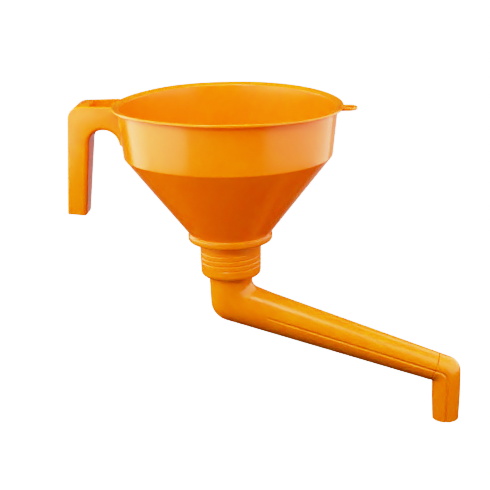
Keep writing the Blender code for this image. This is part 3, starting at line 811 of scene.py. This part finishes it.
def make_rubber():
    material, nodes = new_material("black_rubber_look", "black_rubber")
    shader = nodes.shader
    place = nodes.add('ShaderNodeTexCoord')
    dust = nodes.add('ShaderNodeTexNoise', Scale=300.0, Detail=5.0)
    nodes.link(place.outputs["Object"], dust.inputs["Vector"])
    ramp = nodes.add('ShaderNodeValToRGB')
    ramp.color_ramp.elements[0].color = (0.015, 0.015, 0.016, 1.0)
    ramp.color_ramp.elements[1].color = (0.045, 0.044, 0.043, 1.0)
    nodes.link(dust.outputs["Fac"], ramp.inputs["Fac"])
    nodes.link(ramp.outputs["Color"], shader.inputs["Base Color"])
    bump = nodes.add('ShaderNodeBump', Strength=0.2, Distance=0.0002)
    nodes.link(dust.outputs["Fac"], bump.inputs["Height"])
    nodes.link(bump.outputs["Normal"], shader.inputs["Normal"])
    shader.inputs["Roughness"].default_value = 0.65
    return material


# ---------------------------------------------------------------- stage

def make_camera():
    data = bpy.data.cameras.new("camera")
    data.lens = CAMERA_LENS
    data.sensor_width = 36.0
    data.clip_start = 0.05
    data.clip_end = 30.0
    camera = bpy.data.objects.new("camera", data)
    bpy.context.scene.collection.objects.link(camera)
    heading = Vector((-math.sin(CAMERA_HEADING), math.cos(CAMERA_HEADING), 0.0))
    forward = heading * math.cos(CAMERA_PITCH) - Vector((0.0, 0.0, math.sin(CAMERA_PITCH)))
    right = forward.cross(Vector((0.0, 0.0, 1.0))).normalized()
    up = right.cross(forward)
    cos_roll, sin_roll = math.cos(CAMERA_ROLL), math.sin(CAMERA_ROLL)
    rolled_right = right * cos_roll + up * sin_roll
    rolled_up = up * cos_roll - right * sin_roll
    axes = Matrix((rolled_right, rolled_up, -forward)).transposed()
    camera.matrix_world = Matrix.Translation(CAMERA_PLACE) @ axes.to_4x4()
    bpy.context.scene.camera = camera


def make_area_light(name, place, target, size, power):
    data = bpy.data.lights.new(name, 'AREA')
    data.shape = 'RECTANGLE'
    data.size, data.size_y = size
    data.energy = power
    light = bpy.data.objects.new(name, data)
    light.location = place
    light.rotation_mode = 'QUATERNION'
    light.rotation_quaternion = (Vector(target) - Vector(place)).to_track_quat('-Z', 'Y')
    bpy.context.scene.collection.objects.link(light)


def make_floor():
    mesh = bpy.data.meshes.new("floor")
    mesh.from_pydata([(-FLOOR_REACH, -FLOOR_REACH, FLOOR_Z), (FLOOR_REACH, -FLOOR_REACH, FLOOR_Z),
                      (FLOOR_REACH, FLOOR_REACH, FLOOR_Z), (-FLOOR_REACH, FLOOR_REACH, FLOOR_Z)],
                     [], [(0, 1, 2, 3)])
    floor = bpy.data.objects.new("floor", mesh)
    bpy.context.scene.collection.objects.link(floor)
    material = bpy.data.materials.new("pale_floor")
    material.use_nodes = True
    shader = material.node_tree.nodes["Principled BSDF"]
    shader.inputs["Base Color"].default_value = (0.10, 0.10, 0.10, 1.0)
    shader.inputs["Roughness"].default_value = 0.9
    shader.inputs["Emission Color"].default_value = (1.0, 1.0, 1.0, 1.0)
    shader.inputs["Emission Strength"].default_value = WHITE
    mesh.materials.append(material)
    floor.visible_diffuse = False
    floor.visible_glossy = False
    floor.visible_shadow = False


def remap(tree, source, given, wanted):
    """Turns a range of a value into another range."""
    node = tree.nodes.new('ShaderNodeMapRange')
    node.inputs["From Min"].default_value, node.inputs["From Max"].default_value = given
    node.inputs["To Min"].default_value, node.inputs["To Max"].default_value = wanted
    tree.links.new(source, node.inputs["Value"])
    return node.outputs["Result"]


def make_world():
    """A dim studio with a white backdrop behind; what is seen directly of it is plain white."""
    world = bpy.data.worlds.new("studio")
    world.use_nodes = True
    tree = world.node_tree
    light = tree.nodes["Background"]
    direction = tree.nodes.new('ShaderNodeTexCoord')
    split = tree.nodes.new('ShaderNodeSeparateXYZ')
    tree.links.new(direction.outputs["Generated"], split.inputs["Vector"])
    height = remap(tree, split.outputs["Z"], (-0.15, 0.60), (GROUND_LIGHT, SKY_LIGHT))
    behind = remap(tree, split.outputs["Y"], (0.78, 0.92), (0.0, BACKDROP_LIGHT))
    low_down = remap(tree, split.outputs["Z"], (0.05, -0.05), (0.0, 1.0))
    total = tree.nodes.new('ShaderNodeMath')
    total.operation = 'MULTIPLY_ADD'
    for source, target in zip((behind, low_down, height), total.inputs):
        tree.links.new(source, target)
    tree.links.new(total.outputs["Value"], light.inputs["Strength"])
    light.inputs["Color"].default_value = (1.0, 1.0, 1.0, 1.0)
    seen = tree.nodes.new('ShaderNodeBackground')
    seen.inputs["Color"].default_value = (1.0, 1.0, 1.0, 1.0)
    seen.inputs["Strength"].default_value = WHITE
    path = tree.nodes.new('ShaderNodeLightPath')
    choice = tree.nodes.new('ShaderNodeMixShader')
    tree.links.new(path.outputs["Is Camera Ray"], choice.inputs["Fac"])
    tree.links.new(light.outputs["Background"], choice.inputs[1])
    tree.links.new(seen.outputs["Background"], choice.inputs[2])
    tree.links.new(choice.outputs["Shader"], tree.nodes["World Output"].inputs["Surface"])
    bpy.context.scene.world = world


def make_panel(name, heading, width, low, high, power):
    """An upright softbox that stands near the funnel and faces its axis."""
    x, y = -PANEL_DISTANCE * math.sin(heading), -PANEL_DISTANCE * math.cos(heading)
    z = (low + high) / 2
    make_area_light(name, (x, y, z), (0.0, 0.0, z), (width, high - low), power)


def make_lights():
    for name, heading, width, low, high, power in PANELS:
        make_panel(name, math.radians(heading), width, low, high, power)
    for name, place, size, power in SOFTBOXES:
        make_area_light(name, place, (0.0, 0.0, 0.0), size, power)


def set_view():
    """A photographic tone curve, with a soft toe and a long shoulder."""
    settings = bpy.context.scene.view_settings
    settings.view_transform = 'Standard'
    settings.look = 'None'
    settings.use_curve_mapping = True
    mapping = settings.curve_mapping
    curve = mapping.curves[3]
    for point in TONE_CURVE[1:-1]:
        curve.points.new(*point)
    mapping.update()


orange, brass, rubber = make_orange(), make_brass(), make_rubber()
trim = bowl_core_form()
bowl = make_bowl(orange)
make_handle(orange, trim)
make_tab(orange)
bpy.data.objects.remove(trim)
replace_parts(bowl, "funnel_bowl")
ring = make_strainer_ring(orange)
make_strainer_cross(orange)
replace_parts(ring, "strainer_frame")
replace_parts(make_wire_cloth(brass), "strainer_gauze")
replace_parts(make_spout_arm(orange), "spout_arm")
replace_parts(make_outlet_elbow(orange), "outlet_elbow")
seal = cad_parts["swivel_seal"]
seal.data.materials.clear()
seal.data.materials.append(rubber)

make_floor()
make_world()
make_lights()
make_camera()
set_view()
